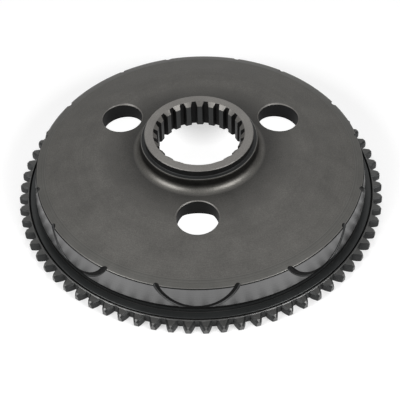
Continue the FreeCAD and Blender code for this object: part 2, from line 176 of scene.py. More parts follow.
class ConeFinish(bpy.types.PropertyGroup):
    """Colours of the steel's finishes, some of them painted shade or painted highlight, and the width of its
    edge breaks.
    """

    edge_break: length("Edge break", "Small break on the turned edges", 0.00025)
    web: colour("Web", "Matt shot-blasted web", (0.086, 0.083, 0.077))
    turned: colour("Turned", "Fine turned band", (0.092, 0.090, 0.084))
    collar: colour("Collar", "Faced top of the hub", (0.175, 0.168, 0.158))
    ground: colour("Ground", "Ground friction face", (0.17, 0.17, 0.17))
    shelf: colour("Shelf", "Dark smooth shelf", (0.034, 0.036, 0.036))
    tooth: colour("Tooth", "Tops of the dog teeth", (0.075, 0.075, 0.073))
    # Painted highlight: lighter lit copy of the tooth steel on the ring's outward faces.
    tooth_end_painted_light: colour("Tooth end", "Outer ends of the dog teeth", (0.12, 0.12, 0.118))
    # Painted shade: dark shaded copy of the tooth steel for the flanks and gaps of the dog teeth, the bevels
    # beside their tops, the ledge's top and the spline's tips.
    flank: colour("Flank", "Flanks and gaps of the dog teeth", (0.026, 0.027, 0.027))
    groove: colour("Groove", "Walls of the oil grooves", (0.045, 0.046, 0.046))
    # Painted shade: near-black colour for the spline spaces, undercut, relief groove, hole walls, collar
    # wall, rim chamfer and the unlit part of the oil grooves.
    recess: colour("Recess", "Spline spaces, undercut and hole walls", (0.006, 0.006, 0.006))
    edge: colour("Edge", "Broken edges", (0.15, 0.147, 0.138))
    # Painted shade round the hub's foot, and the brightening of its bare fillet, which also paints part of
    # the fillet's highlight.
    foot_shade: amount("Foot shade", "Shade at the hub's foot", 0.38)
    bare_sheen_gain: amount("Bare gain", "Brightening of the hub's fillet", 1.5)
    grinding: amount("Grinding", "Stretch of the reflections on the ground cone", 0.9)


class ConeStage(bpy.types.PropertyGroup):
    """The view, the lamps and the floor."""

    camera_place: spot("Camera place", "Where the camera stands", (0.02212, -0.563656, 0.590889))
    camera_aim: spot("Camera aim", "Point in the middle of the view", (0.001185, -0.045192, 0.03813))
    camera_roll: turn("Camera roll", "Tilt of the horizon", -1.8213)
    lens: amount("Lens", "Focal length in millimetres", 109.337)
    lamp_place: spot("Lamp place", "Right soft lamp, which the left one mirrors", (0.66, -0.52, 0.60))
    lamp_aim: spot("Lamp aim", "Point that the lamps face", (0.0, 0.0, 0.03))
    lamp_power: amount("Lamp power", "Power of each soft lamp in watts", 7.0)
    dome_low: amount("Dome low", "Light of the dome towards the back and the floor", 0.08)
    dome_high: amount("Dome high", "Light of the dome straight above", 1.10)
    floor: colour("Floor", "Plain pale floor", (0.93, 0.93, 0.93))
    floor_seen: colour("Floor seen", "Shaded part of the floor as the camera sees it", (0.58, 0.58, 0.58))
    floor_glow: amount("Floor glow", "White added to the floor round the cone", 0.45)
    # Painted light: glow that whitens the floor in the cone's shadow under the web; behind the bore a dimmer
    # glow paints shade.
    painted_light_under_web: amount("Hole glow", "White added to the floor under the web", 0.97)
    painted_bore_shade_glow: amount("Bore glow", "White added to the floor behind the bore", 0.60)


class ConeSettings(bpy.types.PropertyGroup):
    """All settings of the synchronizer cone."""

    hub: bpy.props.PointerProperty(type=ConeHub)
    web: bpy.props.PointerProperty(type=ConeWeb)
    ring: bpy.props.PointerProperty(type=ConeRing)
    finish: bpy.props.PointerProperty(type=ConeFinish)
    stage: bpy.props.PointerProperty(type=ConeStage)


# Small tools of the bench


def deselect():
    """Leave edit mode and deselect every object."""
    if bpy.context.object and bpy.context.object.mode != "OBJECT":
        bpy.ops.object.mode_set(mode="OBJECT")
    bpy.ops.object.select_all(action="DESELECT")


def pick(piece):
    """Select one object alone and make it the active one."""
    deselect()
    piece.select_set(True)
    bpy.context.view_layer.objects.active = piece


def place(piece):
    """Put an object's place, turn and scale into its mesh."""
    pick(piece)
    bpy.ops.object.transform_apply(location=True, rotation=True, scale=True)


def draw_chain(name, points):
    """Draw a closed chain of edges through points by extruding one vertex."""
    deselect()
    bpy.ops.mesh.primitive_plane_add(size=0.01)
    piece = bpy.context.object
    piece.name = name
    piece.data.name = name
    bpy.ops.object.mode_set(mode="EDIT")
    bpy.ops.mesh.select_mode(type="VERT")
    bpy.ops.mesh.select_all(action="SELECT")
    bpy.ops.mesh.merge(type="CENTER")
    bpy.ops.transform.translate(value=points[0])
    for start, end in zip(points, points[1:]):
        bpy.ops.mesh.extrude_vertices_move(TRANSFORM_OT_translate={"value": end - start})
    select_points([points[0], points[-1]])
    bpy.ops.mesh.edge_face_add()
    return piece


def select_points(points):
    """Select the vertices nearest to the given points, in edit mode."""
    shape = bmesh.from_edit_mesh(bpy.context.object.data)
    bpy.ops.mesh.select_all(action="DESELECT")
    for point in points:
        min(shape.verts, key=lambda vertex: (vertex.co - point).length).select = True
    shape.select_flush_mode()
    bmesh.update_edit_mesh(bpy.context.object.data)


def select_edges(test):
    """Select the edges that pass a test, in edit mode, and return how many."""
    bpy.ops.mesh.select_mode(type="EDGE")
    bpy.ops.mesh.select_all(action="DESELECT")
    shape = bmesh.from_edit_mesh(bpy.context.object.data)
    shape.normal_update()
    chosen = [edge for edge in shape.edges if len(edge.link_faces) == 2 and test(edge)]
    for edge in chosen:
        edge.select = True
    bmesh.update_edit_mesh(bpy.context.object.data)
    return len(chosen)


def select_faces(test):
    """Select the faces that pass a test, in edit mode, and return how many."""
    bpy.ops.mesh.select_mode(type="FACE")
    bpy.ops.mesh.select_all(action="DESELECT")
    shape = bmesh.from_edit_mesh(bpy.context.object.data)
    shape.normal_update()
    chosen = [face for face in shape.faces if test(face)]
    for face in chosen:
        face.select = True
    bmesh.update_edit_mesh(bpy.context.object.data)
    return len(chosen)


def close_and_extrude(height):
    """Fill the closed chain in edit mode and extrude it straight up into a prism."""
    bpy.ops.mesh.select_all(action="SELECT")
    bpy.ops.mesh.edge_face_add()
    bpy.ops.mesh.extrude_region_move(TRANSFORM_OT_translate={"value": (0.0, 0.0, height)})
    bpy.ops.mesh.select_all(action="SELECT")
    bpy.ops.mesh.normals_make_consistent(inside=False)


def repeat_round_axis(times):
    """Copy all of the mesh in edit mode evenly round the axis."""
    bpy.ops.mesh.select_all(action="SELECT")
    angle = FULL_TURN * (times - 1) / times
    bpy.ops.mesh.spin(steps=times - 1, dupli=True, angle=angle, center=CENTRE, axis=AXIS)
    bpy.ops.mesh.select_all(action="SELECT")
    bpy.ops.mesh.normals_make_consistent(inside=False)
    bpy.ops.object.mode_set(mode="OBJECT")


def cut(piece, cutter):
    """Cut one mesh out of another and remove the cutter."""
    pick(piece)
    before = len(piece.data.polygons)
    cutting = piece.modifiers.new("Cut", "BOOLEAN")
    cutting.operation = "DIFFERENCE"
    cutting.solver = "EXACT"
    cutting.material_mode = "TRANSFER"
    cutting.object = cutter
    bpy.ops.object.modifier_apply(modifier=cutting.name)
    if len(piece.data.polygons) == before:
        raise RuntimeError(f"{cutter.name} cut nothing")
    bpy.data.objects.remove(cutter, do_unlink=True)


def across(point):
    """Return a point's distance from the axis."""
    return math.hypot(point.x, point.y)


def outwards(face):
    """Return how far a face's normal points away from the axis, from -1 to 1."""
    middle = face.calc_center_median()
    return (face.normal.x * middle.x + face.normal.y * middle.y) / max(across(middle), 1e-6)


# The turned section

WIDE_BREAK = 1.6  # breaks of the collar and the shelf, in plain edge breaks
ROUND_STEP = 7.0  # degrees that one facet of a round turns
LEAST_ROUND_STEPS = 3
CROWN_RADIUS = 0.05  # a round wider than this is a crown
CROWN_STEPS = 8


def web_height(web, radius):
    """Return the height of the web's top at a radius inside its break."""
    return web.height + (web.hole_circle - radius) * math.tan(web.slope)


def underside_height(web, radius):
    """Return the height of the web's underside at a radius."""
    return web.height - web.thickness + (web.hole_circle - radius) * math.tan(web.lower_slope)


def rim_heights(web):
    """Return the heights of the break, the web's edge, the band's edge and the cone's top."""
    edge_radius = web.rim_radius - web.rim_chamfer - web.band_width
    break_height = web_height(web, web.break_radius)
    web_edge = break_height - (edge_radius - web.break_radius) * math.tan(web.outer_slope)
    band_edge = web_edge - web.band_width * math.tan(web.band_slope)
    return break_height, web_edge, band_edge, band_edge - web.rim_chamfer


def cone_radius(settings, height):
    """Return the friction cone's radius at a height."""
    top = rim_heights(settings.web)[3]
    return settings.web.rim_radius + (top - height) * math.tan(settings.ring.cone_angle)


def section(settings):
    """Return the turned section as (radius, height, round) from the spline's foot outwards."""
    hub, web, ring, finish = settings.hub, settings.web, settings.ring, settings.finish
    small = finish.edge_break
    wide = small * WIDE_BREAK
    foot = hub.bottom_height + hub.recess_depth
    lead_depth = (hub.lead_radius - hub.spline_minor) / math.tan(hub.lead_angle)
    break_height, web_edge, band_edge, cone_top = rim_heights(web)
    web_edge_radius = web.rim_radius - web.rim_chamfer - web.band_width
    foot_radius = cone_radius(settings, ring.cone_foot)
    under = foot_radius - ring.undercut
    shelf = ring.shelf_height
    floor = shelf - ring.undercut_drop
    relief_outer = ring.relief_radius + ring.relief_width
    land = relief_outer + ring.land_width
    flank = hub.bottom_radius + hub.flank_width
    return [
        (hub.spline_minor + hub.end_chamfer, foot, 0.0),
        (hub.spline_minor, foot + hub.end_chamfer, 0.0),
        (hub.spline_minor, hub.top_height - lead_depth, 0.0),
        (hub.lead_radius, hub.top_height, 0.0),
        (hub.collar_radius, hub.top_height, wide),
        (hub.collar_radius, hub.ledge_height, hub.foot_round),
        (hub.ledge_radius, hub.ledge_height, hub.ledge_round),
        (hub.ledge_radius, web_height(web, hub.ledge_radius), hub.fillet),
        (web.break_radius, break_height, web.crown),
        (web_edge_radius, web_edge, 0.0),
        (web.rim_radius - web.rim_chamfer, band_edge, small),
        (web.rim_radius, cone_top, 0.0),
        (foot_radius, ring.cone_foot, small),
        (under, ring.cone_foot - ring.undercut, 0.0),
        (under, shelf + ring.undercut, 0.0),
        (under, floor, 0.0),
        (ring.shelf_radius - ring.undercut_drop, floor, 0.0),
        (ring.shelf_radius, shelf, wide),
        (ring.relief_radius, shelf, small),
        (ring.relief_radius, shelf - ring.relief_depth, 0.0),
        (relief_outer, shelf - ring.relief_depth, 0.0),
        (relief_outer, shelf, small),
        (land, shelf, 0.0),
        (land + ring.land_step, shelf - ring.land_step, 0.0),
        (ring.tip_radius - ring.tip_break, shelf - ring.land_step, 0.0),
        (ring.tip_radius, shelf - ring.land_step - ring.tip_break, 0.0),
        (ring.tip_radius, ring.tip_chamfer_height, 0.0),
        (ring.tip_radius - ring.tip_chamfer_width, 0.0, 0.0),
        (web.dish_radius + web.dish_chamfer, 0.0, 0.0),
        (web.dish_radius, web.dish_chamfer, 0.0),
        (web.dish_radius, underside_height(web, web.dish_radius), web.dish_fillet),
        (flank, underside_height(web, flank), hub.flank_fillet),
        (hub.bottom_radius, hub.bottom_height, small),
        (hub.recess_radius + hub.recess_chamfer, hub.bottom_height, 0.0),
        (hub.recess_radius, hub.bottom_height + hub.recess_chamfer, 0.0),
        (hub.recess_radius, foot, 0.0),
    ]


def round_section(corners, small):
    """Round the section's corners that have a radius, and bevel those with an edge break."""
    places = [Vector((radius, 0.0, height)) for radius, height, _ in corners]
    for number, (_, _, rounding) in enumerate(corners):
        if not rounding:
            continue
        here = places[number]
        before = (places[number - 1] - here).normalized()
        after = (places[(number + 1) % len(places)] - here).normalized()
        bend = math.pi - before.angle(after)
        flat = rounding <= small * WIDE_BREAK
        reach = rounding if flat else rounding * math.tan(bend / 2.0)
        least = CROWN_STEPS if rounding > CROWN_RADIUS else LEAST_ROUND_STEPS
        steps = 1 if flat else max(least, int(math.degrees(bend) / ROUND_STEP))
        select_points([here])
        bpy.ops.mesh.bevel(offset=reach, segments=steps, affect="VERTICES", profile=0.5)


# Finishes of the steel

# Scales of the noises
GRAIN_SCALE = 1500.0
MOTTLE_SCALE = 70.0
LINE_SCALE = 2400.0
BAND_SCALE = 260.0
LINE_RISE = 0.7  # share of the height in the lines' spacing, so that steep faces have them too
NOISE_LOW, NOISE_HIGH = 0.3, 0.7
BAND_SHARE = 0.6
ROUGH_SHARE = 0.5
RELIEF_GAIN = 4.0
RELIEF_DEPTH = 0.00004
BARE_ROUGHNESS = 0.82

# Reaches beyond the ledge, in fillet radii, of the painted shade round the hub's foot, of the fillet's
# brightening, and of the wall below the ledge, which keeps only the painted shade
SHADE_REACH = 4.5
BARE_FROM, BARE_TO = 0.35, 0.85
WALL_FROM, WALL_TO = 0.02, 0.2


def socket_names(group, direction, names):
    """Give a node group its inputs or outputs."""
    for name, kind, start in names:
        socket = group.interface.new_socket(name=name, in_out=direction, socket_type=kind)
        if direction == "INPUT":
            socket.default_value = start


def new_group(name, inputs, outputs):
    """Start a shader node group and return it with its end nodes."""
    group = bpy.data.node_groups.new(name, "ShaderNodeTree")
    socket_names(group, "INPUT", inputs)
    socket_names(group, "OUTPUT", outputs)
    return group, group.nodes.new("NodeGroupInput"), group.nodes.new("NodeGroupOutput")


def add(tree, kind, links=(), **values):
    """Add a node, set its values and link sockets into its inputs."""
    node = tree.nodes.new(kind)
    for name, value in values.items():
        setattr(node, name, value)
    for key, source in links:
        if hasattr(source, "is_linked"):
            tree.links.new(source, node.inputs[key])
        else:
            node.inputs[key].default_value = source
    return node


def math_node(tree, operation, first, second=0.0):
    """Add a math node and return its result."""
    return add(tree, "ShaderNodeMath", ((0, first), (1, second)), operation=operation).outputs[0]


def remap(tree, value, low, high, new_low, new_high):
    """Add a clamped map range and return its result."""
    source = (("Value", value), ("From Min", low), ("From Max", high))
    result = (("To Min", new_low), ("To Max", new_high))
    return add(tree, "ShaderNodeMapRange", source + result, clamp=True).outputs[0]


def swing(tree, noise, reach, level=1.0):
    """Make a noise vary a level by a share of it either way."""
    return remap(tree, noise, NOISE_LOW, NOISE_HIGH, level * (1.0 - reach), level * (1.0 + reach))


def scaled(tree, tint, factor):
    """Multiply a colour by a factor and return the result."""
    return add(tree, "ShaderNodeVectorMath", ((0, tint), ("Scale", factor)), operation="SCALE").outputs[0]


def grain_group():
    """Build the group that gives a blasted or cast skin its grain and mottling."""
    group, entry, leave = new_group(
        "Steel grain",
        [("Grain Scale", "NodeSocketFloat", GRAIN_SCALE), ("Mottle Scale", "NodeSocketFloat", MOTTLE_SCALE)],
        [("Grain", "NodeSocketFloat", 0.0), ("Mottle", "NodeSocketFloat", 0.0)],
    )
    where = add(group, "ShaderNodeTexCoord").outputs["Object"]
    fine = add(
        group, "ShaderNodeTexNoise", (("Vector", where), ("Scale", entry.outputs[0]), ("Detail", 3.0)),
    )
    broad = add(
        group, "ShaderNodeTexNoise",
        (("Vector", where), ("Scale", entry.outputs[1]), ("Detail", 4.0), ("Roughness", 0.6)),
    )
    group.links.new(fine.outputs[0], leave.inputs[0])
    group.links.new(broad.outputs[0], leave.inputs[1])
    return group


def turning_group():
    """Build the group that gives a turned face its fine concentric lines."""
    group, entry, leave = new_group(
        "Turning lines",
        [("Line Scale", "NodeSocketFloat", LINE_SCALE)],
        [(name, "NodeSocketFloat", 0.0) for name in ("Lines", "Bands", "Radius")],
    )
    where = add(group, "ShaderNodeTexCoord").outputs["Object"]
    parts = add(group, "ShaderNodeSeparateXYZ", ((0, where),))
    flat = add(group, "ShaderNodeCombineXYZ", ((0, parts.outputs[0]), (1, parts.outputs[1])))
    radius = add(group, "ShaderNodeVectorMath", ((0, flat.outputs[0]),), operation="LENGTH").outputs["Value"]
    slope = math_node(group, "ADD", radius, math_node(group, "MULTIPLY", parts.outputs[2], LINE_RISE))
    lines = add(
        group, "ShaderNodeTexNoise", (("W", slope), ("Scale", entry.outputs[0]), ("Detail", 2.0)),
        noise_dimensions="1D",
    )
    bands = add(
        group, "ShaderNodeTexNoise", (("W", slope), ("Scale", BAND_SCALE), ("Detail", 1.0)),
        noise_dimensions="1D",
    )
    group.links.new(lines.outputs[0], leave.inputs[0])
    group.links.new(bands.outputs[0], leave.inputs[1])
    group.links.new(radius, leave.inputs[2])
    return group


def shared_group(name, maker):
    """Return a node group, building it the first time it is asked for."""
    return bpy.data.node_groups.get(name) or maker()


def steel(name, tint, metallic, rough, grain, lines, bump, spread, shine):
    """Make a steel finish from the shared grain and turning lines."""
    material = bpy.data.materials.new(name)
    material.use_nodes = True
    tree = material.node_tree
    shader = tree.nodes["Principled BSDF"]
    skin = add(tree, "ShaderNodeGroup", node_tree=shared_group("Steel grain", grain_group))
    skin.inputs["Grain Scale"].default_value = GRAIN_SCALE
    skin.inputs["Mottle Scale"].default_value = MOTTLE_SCALE
    turned = add(tree, "ShaderNodeGroup", node_tree=shared_group("Turning lines", turning_group))
    turned.name = "Turning lines"
    turned.inputs["Line Scale"].default_value = LINE_SCALE
    mottle = swing(tree, skin.outputs["Mottle"], spread)
    speck = swing(tree, skin.outputs["Grain"], grain)
    ridge = swing(tree, turned.outputs["Lines"], lines)
    band = swing(tree, turned.outputs["Bands"], lines * BAND_SHARE)
    skin_tone = math_node(tree, "MULTIPLY", mottle, speck)
    tone = math_node(tree, "MULTIPLY", skin_tone, math_node(tree, "MULTIPLY", ridge, band))
    tree.links.new(scaled(tree, tuple(tint), tone), shader.inputs["Base Color"])
    worn = swing(tree, skin.outputs["Mottle"], spread * ROUGH_SHARE, rough)
    tree.links.new(worn, shader.inputs["Roughness"])
    shader.inputs["Metallic"].default_value = metallic
    shader.inputs["Specular IOR Level"].default_value = shine
    height = math_node(
        tree, "ADD", math_node(tree, "MULTIPLY", skin.outputs["Grain"], grain * RELIEF_GAIN),
        math_node(tree, "MULTIPLY", turned.outputs["Lines"], lines * RELIEF_GAIN),
    )
    relief = add(tree, "ShaderNodeBump", (("Height", height), ("Strength", bump), ("Distance", RELIEF_DEPTH)))
    tree.links.new(relief.outputs[0], shader.inputs["Normal"])
    return material


def paint_hub_foot_shade(material, hub, finish):
    """Paint shade on a finish towards the foot of the hub, and make its fillet brighter, more metallic and
    smoother bare steel, whose brightening also paints part of the fillet's highlight.
    """
    tree = material.node_tree
    shader = tree.nodes["Principled BSDF"]
    radius = tree.nodes["Turning lines"].outputs["Radius"]
    colour_now = shader.inputs["Base Color"].links[0].from_socket

    def fade(start, end, at_start, at_end):
        low, high = (hub.ledge_radius + reach * hub.fillet for reach in (start, end))
        return remap(tree, radius, low, high, at_start, at_end)

    # Painted shade, darkest at the ledge and fading out across the web.
    painted_foot_shade = fade(0.0, SHADE_REACH, finish.foot_shade, 1.0)
    bare = fade(BARE_FROM, BARE_TO, finish.bare_sheen_gain, 0.0)
    # The wall below the ledge keeps the painted shade without the brightening.
    wall = fade(WALL_FROM, WALL_TO, 0.0, 1.0)
    gain = math_node(tree, "ADD", painted_foot_shade, math_node(tree, "MULTIPLY", bare, wall))
    tree.links.new(scaled(tree, colour_now, gain), shader.inputs["Base Color"])
    metal = shader.inputs["Metallic"].default_value
    bareness = remap(tree, bare, 0.0, finish.bare_sheen_gain, metal, 1.0)
    tree.links.new(bareness, shader.inputs["Metallic"])
    rough_now = shader.inputs["Roughness"].links[0].from_socket
    polish = remap(tree, bare, 0.0, finish.bare_sheen_gain, 1.0, BARE_ROUGHNESS)
    tree.links.new(math_node(tree, "MULTIPLY", rough_now, polish), shader.inputs["Roughness"])


def brush_round_axis(material, amount):
    """Stretch a ground face's reflections across its grinding lines."""
    tree = material.node_tree
    shader = tree.nodes["Principled BSDF"]
    way = add(tree, "ShaderNodeTangent", direction_type="RADIAL", axis="Z")
    tree.links.new(way.outputs[0], shader.inputs["Tangent"])
    shader.inputs["Anisotropic"].default_value = amount
    shader.inputs["Anisotropic Rotation"].default_value = QUARTER_TURN


def finishes(settings):
    """Return the finishes of the steel by name, making them the first time."""
    tint = settings.finish
    # tint, metallic, roughness, grain, turning lines, bump, mottling, shine
    recipes = {
        "web_blasted": (tint.web, 0.30, 0.60, 0.20, 0.04, 0.35, 0.14, 0.4),
        "turned_band": (tint.turned, 0.45, 0.45, 0.08, 0.16, 0.3, 0.10, 0.4),
        "faced_collar": (tint.collar, 0.40, 0.50, 0.16, 0.05, 0.3, 0.10, 0.4),
        "lead_in": (tint.collar, 0.60, 0.45, 0.16, 0.05, 0.3, 0.10, 0.4),
        "ground_cone": (tint.ground, 1.0, 0.28, 0.03, 0.05, 0.15, 0.03, 0.5),
        "dark_shelf": (tint.shelf, 0.40, 0.42, 0.06, 0.06, 0.15, 0.10, 0.35),
        "dog_tooth": (tint.tooth, 0.45, 0.45, 0.12, 0.0, 0.3, 0.16, 0.4),
        "tooth_end_painted_light": (tint.tooth_end_painted_light, 0.5, 0.42, 0.12, 0.0, 0.3, 0.16, 0.4),
        "painted_dark_shade": (tint.flank, 0.3, 0.50, 0.10, 0.0, 0.3, 0.12, 0.3),
        "groove_wall": (tint.groove, 0.3, 0.50, 0.10, 0.0, 0.2, 0.12, 0.3),
        "painted_black_shade": (tint.recess, 0.0, 0.65, 0.10, 0.0, 0.3, 0.12, 0.15),
        "broken_edge": (tint.edge, 0.6, 0.40, 0.08, 0.0, 0.1, 0.10, 0.5),
        "hidden_forging": (tint.web, 0.30, 0.65, 0.24, 0.02, 0.4, 0.22, 0.4),
    }
    if "web_blasted" not in bpy.data.materials:
        for name, recipe in recipes.items():
            steel(name, *recipe)
        paint_hub_foot_shade(bpy.data.materials["web_blasted"], settings.hub, tint)
        brush_round_axis(bpy.data.materials["ground_cone"], tint.grinding)
    return {name: bpy.data.materials[name] for name in recipes}


ZONES = (
    "web_blasted", "turned_band", "faced_collar", "ground_cone", "dark_shelf", "dog_tooth", "tooth_end_painted_light",
    "painted_black_shade", "broken_edge", "hidden_forging", "lead_in", "painted_dark_shade",
)
HAIR = 0.00001
TOP_SKIN = 0.02  # faces within this of the web's line and turned up belong to the top
UNDERCUT_REACH = 0.004  # faces within this of the shelf's inner edge belong to the undercut
GROOVE_CLEARANCE = 0.0005  # faces above this aren't the ring's lower side

# Parts of a face's normal that tell how it stands
UPRIGHT, TILTED, LEANING, HALFWAY, FACING, LEVEL = 0.1, 0.2, 0.3, 0.5, 0.9, 0.95


def zone(settings, face):
    """Return the finish of one face of the turned blank, from its place and its slope; some finishes are
    painted shade or painted highlight.
    """
    hub, web, ring = settings.hub, settings.web, settings.ring
    small = settings.finish.edge_break
    middle = face.calc_center_median()
    radius, height, up, out = across(middle), middle.z, face.normal.z, outwards(face)
    cone_top = rim_heights(web)[3]
    band_radius = web.rim_radius - web.rim_chamfer
    shelf = ring.shelf_height
    undercut_floor = shelf - ring.undercut_drop - HAIR
    if height > web_height(web, radius) - TOP_SKIN and up > LEANING and radius < web.rim_radius:
        if radius > band_radius + small:
            # The rim chamfer gets near-black painted shade.
            return "painted_black_shade"
        if radius > band_radius - small:
            return "broken_edge"
        if radius > band_radius - web.band_width:
            return "turned_band"
        if radius > hub.ledge_radius or height < hub.ledge_height - 10.0 * HAIR:
            return "web_blasted"
        if height > hub.top_height - HAIR:
            return "faced_collar"
        if radius > hub.collar_radius:
            # The ledge's top gets dark painted shade; its outer round stays a broken edge.
            return "broken_edge" if radius > hub.ledge_radius - hub.ledge_round else "painted_dark_shade"
        return "faced_collar" if radius > hub.lead_radius else "lead_in"
    if out > FACING and ring.cone_foot < height < cone_top:
        return "ground_cone"
    if out > LEANING and height > web.height and hub.lead_radius < radius < web.break_radius:
        # The collar wall gets near-black painted shade.
        return "painted_black_shade" if height > hub.ledge_height else "web_blasted"
    if out < -LEANING and radius < hub.lead_radius and height > hub.bottom_height + hub.recess_depth:
        # The spline's tips get dark painted shade.
        return "lead_in" if up > LEANING else "painted_dark_shade"
    below = height < cone_top + TOP_SKIN and out < HALFWAY and up < LEANING
    if below and radius < web.dish_radius + web.dish_chamfer:
        return "hidden_forging"
    beside_shelf = ring.shelf_radius - UNDERCUT_REACH < radius
    # The undercut's lower wall gets the shelf's dark tone as painted shade.
    if out > FACING and beside_shelf and radius < ring.shelf_radius and height < shelf + ring.undercut:
        return "dark_shelf"
    if ring.shelf_radius - ring.undercut_drop < radius < ring.relief_radius and height > undercut_floor:
        return "dog_tooth" if up < LEVEL and radius < ring.shelf_radius + small else "dark_shelf"
    if beside_shelf and radius < ring.relief_radius + ring.relief_width and height > GROOVE_CLEARANCE:
        # The undercut's upper wall and the relief groove get near-black painted shade; their chamfers stay
        # broken edges.
        return "broken_edge" if HALFWAY < up < FACING else "painted_black_shade"
    # Outward faces get the lighter tooth steel as painted highlight.
    return "tooth_end_painted_light" if out > TILTED else "dog_tooth"


def show_finishes(piece, settings):
    """Give every face of the turned blank the finish of its zone."""
    made = finishes(settings)
    for name in ZONES:
        piece.data.materials.append(made[name])
    pick(piece)
    bpy.ops.object.mode_set(mode="EDIT")
    for number, name in enumerate(ZONES):
        if not select_faces(lambda face: zone(settings, face) == name):
            continue
        piece.active_material_index = number
        bpy.ops.object.material_slot_assign()
    bpy.ops.object.mode_set(mode="OBJECT")


# Operators, one for each step of the making

STEPS_PER_TOOTH = 6
WELD = 0.000005
OVERRUN = 0.002  # how far a cutter stands out past the faces above and below
SIDE_OVERRUN = 0.001
HOLE_SIDES = 128
GROOVE_STEPS, GROOVE_SIDES = 160, 28
FLANK_STEPS = 6
# The rest of a groove, outside this lit strip, gets near-black painted shade.
SHADE_FROM, SHADE_TO = 0.42, 0.92  # lit strip of a groove, in groove radii from its centre line
ROOF_FLATNESS = math.radians(1.5)
SMOOTH_BELOW = math.radians(25.0)
TOOTH_END_FACING = 0.8


def new_cutter(name, settings, *finish_names):
    """Name the new primitive, give it its finishes and open it in edit mode."""
    cutter = bpy.context.object
    cutter.name = name
    place(cutter)
    for finish_name in finish_names:
        cutter.data.materials.append(finishes(settings)[finish_name])
    bpy.ops.object.mode_set(mode="EDIT")
    return cutter


def cut_round_axis(cutter, times):
    """Copy the cutter in edit mode evenly round the axis and cut the blank with it."""
    repeat_round_axis(times)
    cut(bpy.data.objects[PIECE], cutter)


class CONE_OT_turn_blank(bpy.types.Operator):
    """Turn the whole section of the cone from one blank"""

    bl_idname = "cone.turn_blank"
    bl_label = "Turn the blank"

    def execute(self, context):
        settings = context.scene.cone
        corners = section(settings)
        points = [Vector((radius, 0.0, height)) for radius, height, _ in corners]
        piece = draw_chain(PIECE, points)
        round_section(corners, settings.finish.edge_break)
        bpy.ops.mesh.select_all(action="SELECT")
        steps = STEPS_PER_TOOTH * settings.ring.tooth_count
        bpy.ops.mesh.spin(steps=steps, angle=FULL_TURN, center=CENTRE, axis=AXIS)
        bpy.ops.mesh.select_all(action="SELECT")
        bpy.ops.mesh.remove_doubles(threshold=WELD)
        bpy.ops.mesh.normals_make_consistent(inside=False)
        bpy.ops.object.mode_set(mode="OBJECT")
        show_finishes(piece, settings)
        return {"FINISHED"}


class CONE_OT_drill_web(bpy.types.Operator):
    """Drill the round holes through the web and countersink them"""

    bl_idname = "cone.drill_web"
    bl_label = "Drill the web"

    def execute(self, context):
        settings = context.scene.cone
        web = settings.web
        deselect()
        bpy.ops.mesh.primitive_cylinder_add(
            vertices=HOLE_SIDES, radius=web.hole_radius, depth=web.height,
            location=(0.0, -web.hole_circle, web.height),
        )
        # The hole walls get near-black painted shade.
        cut_round_axis(new_cutter("web_drill", settings, "painted_black_shade"), web.hole_count)
        below, above = SIDE_OVERRUN, OVERRUN
        depth = below + web.hole_chamfer + above
        near = web_height(web, web.hole_circle + web.hole_radius) - web.crown_drop
        far = web_height(web, web.hole_circle - web.hole_radius)
        lean = math.atan((far - near) / (2.0 * web.hole_radius))
        deselect()
        bpy.ops.mesh.primitive_cone_add(
            vertices=HOLE_SIDES, radius1=web.hole_radius - below, depth=depth, rotation=(lean, 0.0, 0.0),
            radius2=web.hole_radius + web.hole_chamfer + above,
            location=(0.0, -web.hole_circle, (near + far) / 2.0 + above - depth / 2.0),
        )
        cut_round_axis(new_cutter("hole_countersink", settings, "faced_collar"), web.hole_count)
        return {"FINISHED"}


class CONE_OT_broach_spline(bpy.types.Operator):
    """Broach the spaces of the internal spline"""

    bl_idname = "cone.broach_spline"
    bl_label = "Broach the spline"

    def execute(self, context):
        settings = context.scene.cone
        hub = settings.hub
        low = hub.bottom_height
        inner = hub.spline_minor - SIDE_OVERRUN
        left = [
            (-hub.spline_mouth / 2, -inner), (-hub.spline_mouth / 2, -hub.spline_minor),
            (-hub.spline_floor / 2, -hub.spline_major),
        ]
        outline = left + [(-x, y) for x, y in reversed(left)]
        broach = draw_chain("spline_broach", [Vector((x, y, low)) for x, y in outline])
        close_and_extrude(hub.top_height - low + OVERRUN)
        # The spline spaces get near-black painted shade.
        broach.data.materials.append(finishes(settings)["painted_black_shade"])
        cut_round_axis(broach, hub.spline_count)
        return {"FINISHED"}


class CONE_OT_mill_oil_grooves(bpy.types.Operator):
    """Mill the curved oil grooves into the friction cone"""

    bl_idname = "cone.mill_oil_grooves"
    bl_label = "Mill the oil grooves"

    def execute(self, context):
        settings = context.scene.cone
        ring = settings.ring
        lowest = ring.cone_foot - ring.groove_drop
        outermost = cone_radius(settings, lowest) + ring.groove_standoff
        lean = ring.groove_lean
        middle = Vector((
            0.0,
            ring.groove_sweep * math.sin(lean) - outermost,
            lowest + ring.groove_sweep * math.cos(lean),
        ))
        deselect()
        bpy.ops.mesh.primitive_torus_add(
            location=middle, rotation=(math.pi / 2 - lean, 0.0, 0.0),
            major_segments=GROOVE_STEPS, minor_segments=GROOVE_SIDES,
            major_radius=ring.groove_sweep, minor_radius=ring.groove_round,
        )
        mill = new_cutter("groove_mill", settings, "groove_wall", "painted_black_shade")
        upper = ring.groove_sweep + SHADE_FROM * ring.groove_round
        lower = ring.groove_sweep + SHADE_TO * ring.groove_round
        # Faces outside the lit strip get near-black painted shade.
        if not select_faces(lambda face: not upper < (face.calc_center_median() - middle).length < lower):
            raise RuntimeError("no shaded groove wall was found")
        mill.active_material_index = 1
        bpy.ops.object.material_slot_assign()
        cut_round_axis(mill, ring.groove_count)
        return {"FINISHED"}


